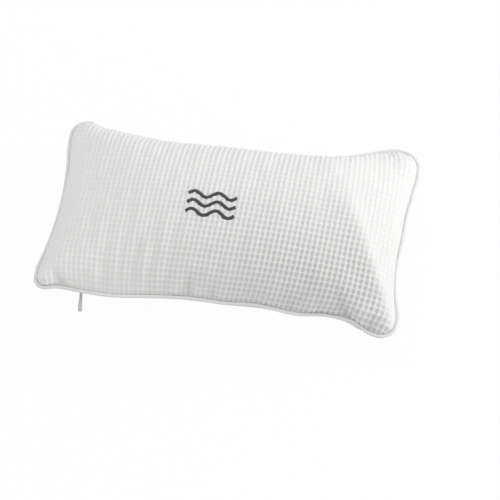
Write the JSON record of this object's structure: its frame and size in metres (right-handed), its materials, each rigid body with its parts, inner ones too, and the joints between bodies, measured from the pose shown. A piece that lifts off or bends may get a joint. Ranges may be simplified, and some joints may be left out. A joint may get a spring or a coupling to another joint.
{
  "type": "bath pillow",
  "caption": "Rectangular waffle-cloth bath pillow with piped edges, a hidden zip with a flat pull, and suction cups on swivel eyelets at its back.",
  "frame": {"origin": "the middle of the flat outside of the back panel, between the four suction cups", "axes": "+X along the pillow's length, +Y towards its top edge, +Z out of its crowned face; the zip is at -Y and the cups stand below the back"},
  "size_m": [0.3497, 0.2141, 0.0881],
  "materials": {
    "waffle_cloth": "white waffle-woven cloth with soft raised ribs",
    "piping_cloth": "smooth white woven cloth",
    "cotton_cord": "twisted cotton cord",
    "lining": "thin white non-woven cloth",
    "fibre_filling": "soft polyester fibre",
    "zip_tape": "tight woven polyester tape",
    "nylon_coil": "satin white nylon",
    "slider_metal": "pale painted zinc, satin",
    "pull_plastic": "pale grey moulded plastic, satin",
    "soft_pvc": "clear soft plastic, glossy",
    "eyelet_plastic": "white moulded plastic",
    "grey_thread": "dark grey satin stitch with a soft sheen"
  },
  "bodies": {
    "cushion": {"front_panel": "waffle_cloth", "back_panel": "waffle_cloth", "piping_sleeve": "piping_cloth", "piping_cord": "cotton_cord", "inner_bag_front": "lining", "inner_bag_back": "lining", "filling": "fibre_filling", "zip_tape_upper": "zip_tape", "zip_tape_lower": "zip_tape", "zip_coil_upper": "nylon_coil", "zip_coil_lower": "nylon_coil", "zip_stop_closed_end": "nylon_coil", "zip_stop_open_end": "nylon_coil", "stitched_wave_1": "grey_thread", "stitched_wave_2": "grey_thread", "stitched_wave_3": "grey_thread", "eyelet_1": "eyelet_plastic", "eyelet_washer_1": "eyelet_plastic", "eyelet_2": "eyelet_plastic", "eyelet_washer_2": "eyelet_plastic", "eyelet_3": "eyelet_plastic", "eyelet_washer_3": "eyelet_plastic", "eyelet_4": "eyelet_plastic", "eyelet_washer_4": "eyelet_plastic"},
    "slider": {"zip_slider": "slider_metal"},
    "pull": {"zip_pull": "pull_plastic"},
    "cup_1": {"suction_cup_1": "soft_pvc"},
    "cup_2": {"suction_cup_2": "soft_pvc"},
    "cup_3": {"suction_cup_3": "soft_pvc"},
    "cup_4": {"suction_cup_4": "soft_pvc"}
  },
  "joints": [
    {"name": "slider_slide", "type": "slide", "parent": "cushion", "child": "slider", "axis": [1, 0, 0], "range_m": [0, 0.225], "deforming": ["zip_coil_upper", "zip_coil_lower"]},
    {"name": "pull_swing", "type": "hinge", "parent": "slider", "child": "pull", "pos_m": [-0.129, -0.08444, 0.02], "axis": [0, 0, 1], "range_deg": [-68, 82]},
    {"name": "cup_1_turn", "type": "hinge", "parent": "cushion", "child": "cup_1", "pos_m": [-0.08, 0.033, 0], "axis": [0, 0, 1], "continuous": true},
    {"name": "cup_2_turn", "type": "hinge", "parent": "cushion", "child": "cup_2", "pos_m": [0.08, 0.033, 0], "axis": [0, 0, 1], "continuous": true},
    {"name": "cup_3_turn", "type": "hinge", "parent": "cushion", "child": "cup_3", "pos_m": [-0.08, -0.033, 0], "axis": [0, 0, 1], "continuous": true},
    {"name": "cup_4_turn", "type": "hinge", "parent": "cushion", "child": "cup_4", "pos_m": [0.08, -0.033, 0], "axis": [0, 0, 1], "continuous": true}
  ]
}
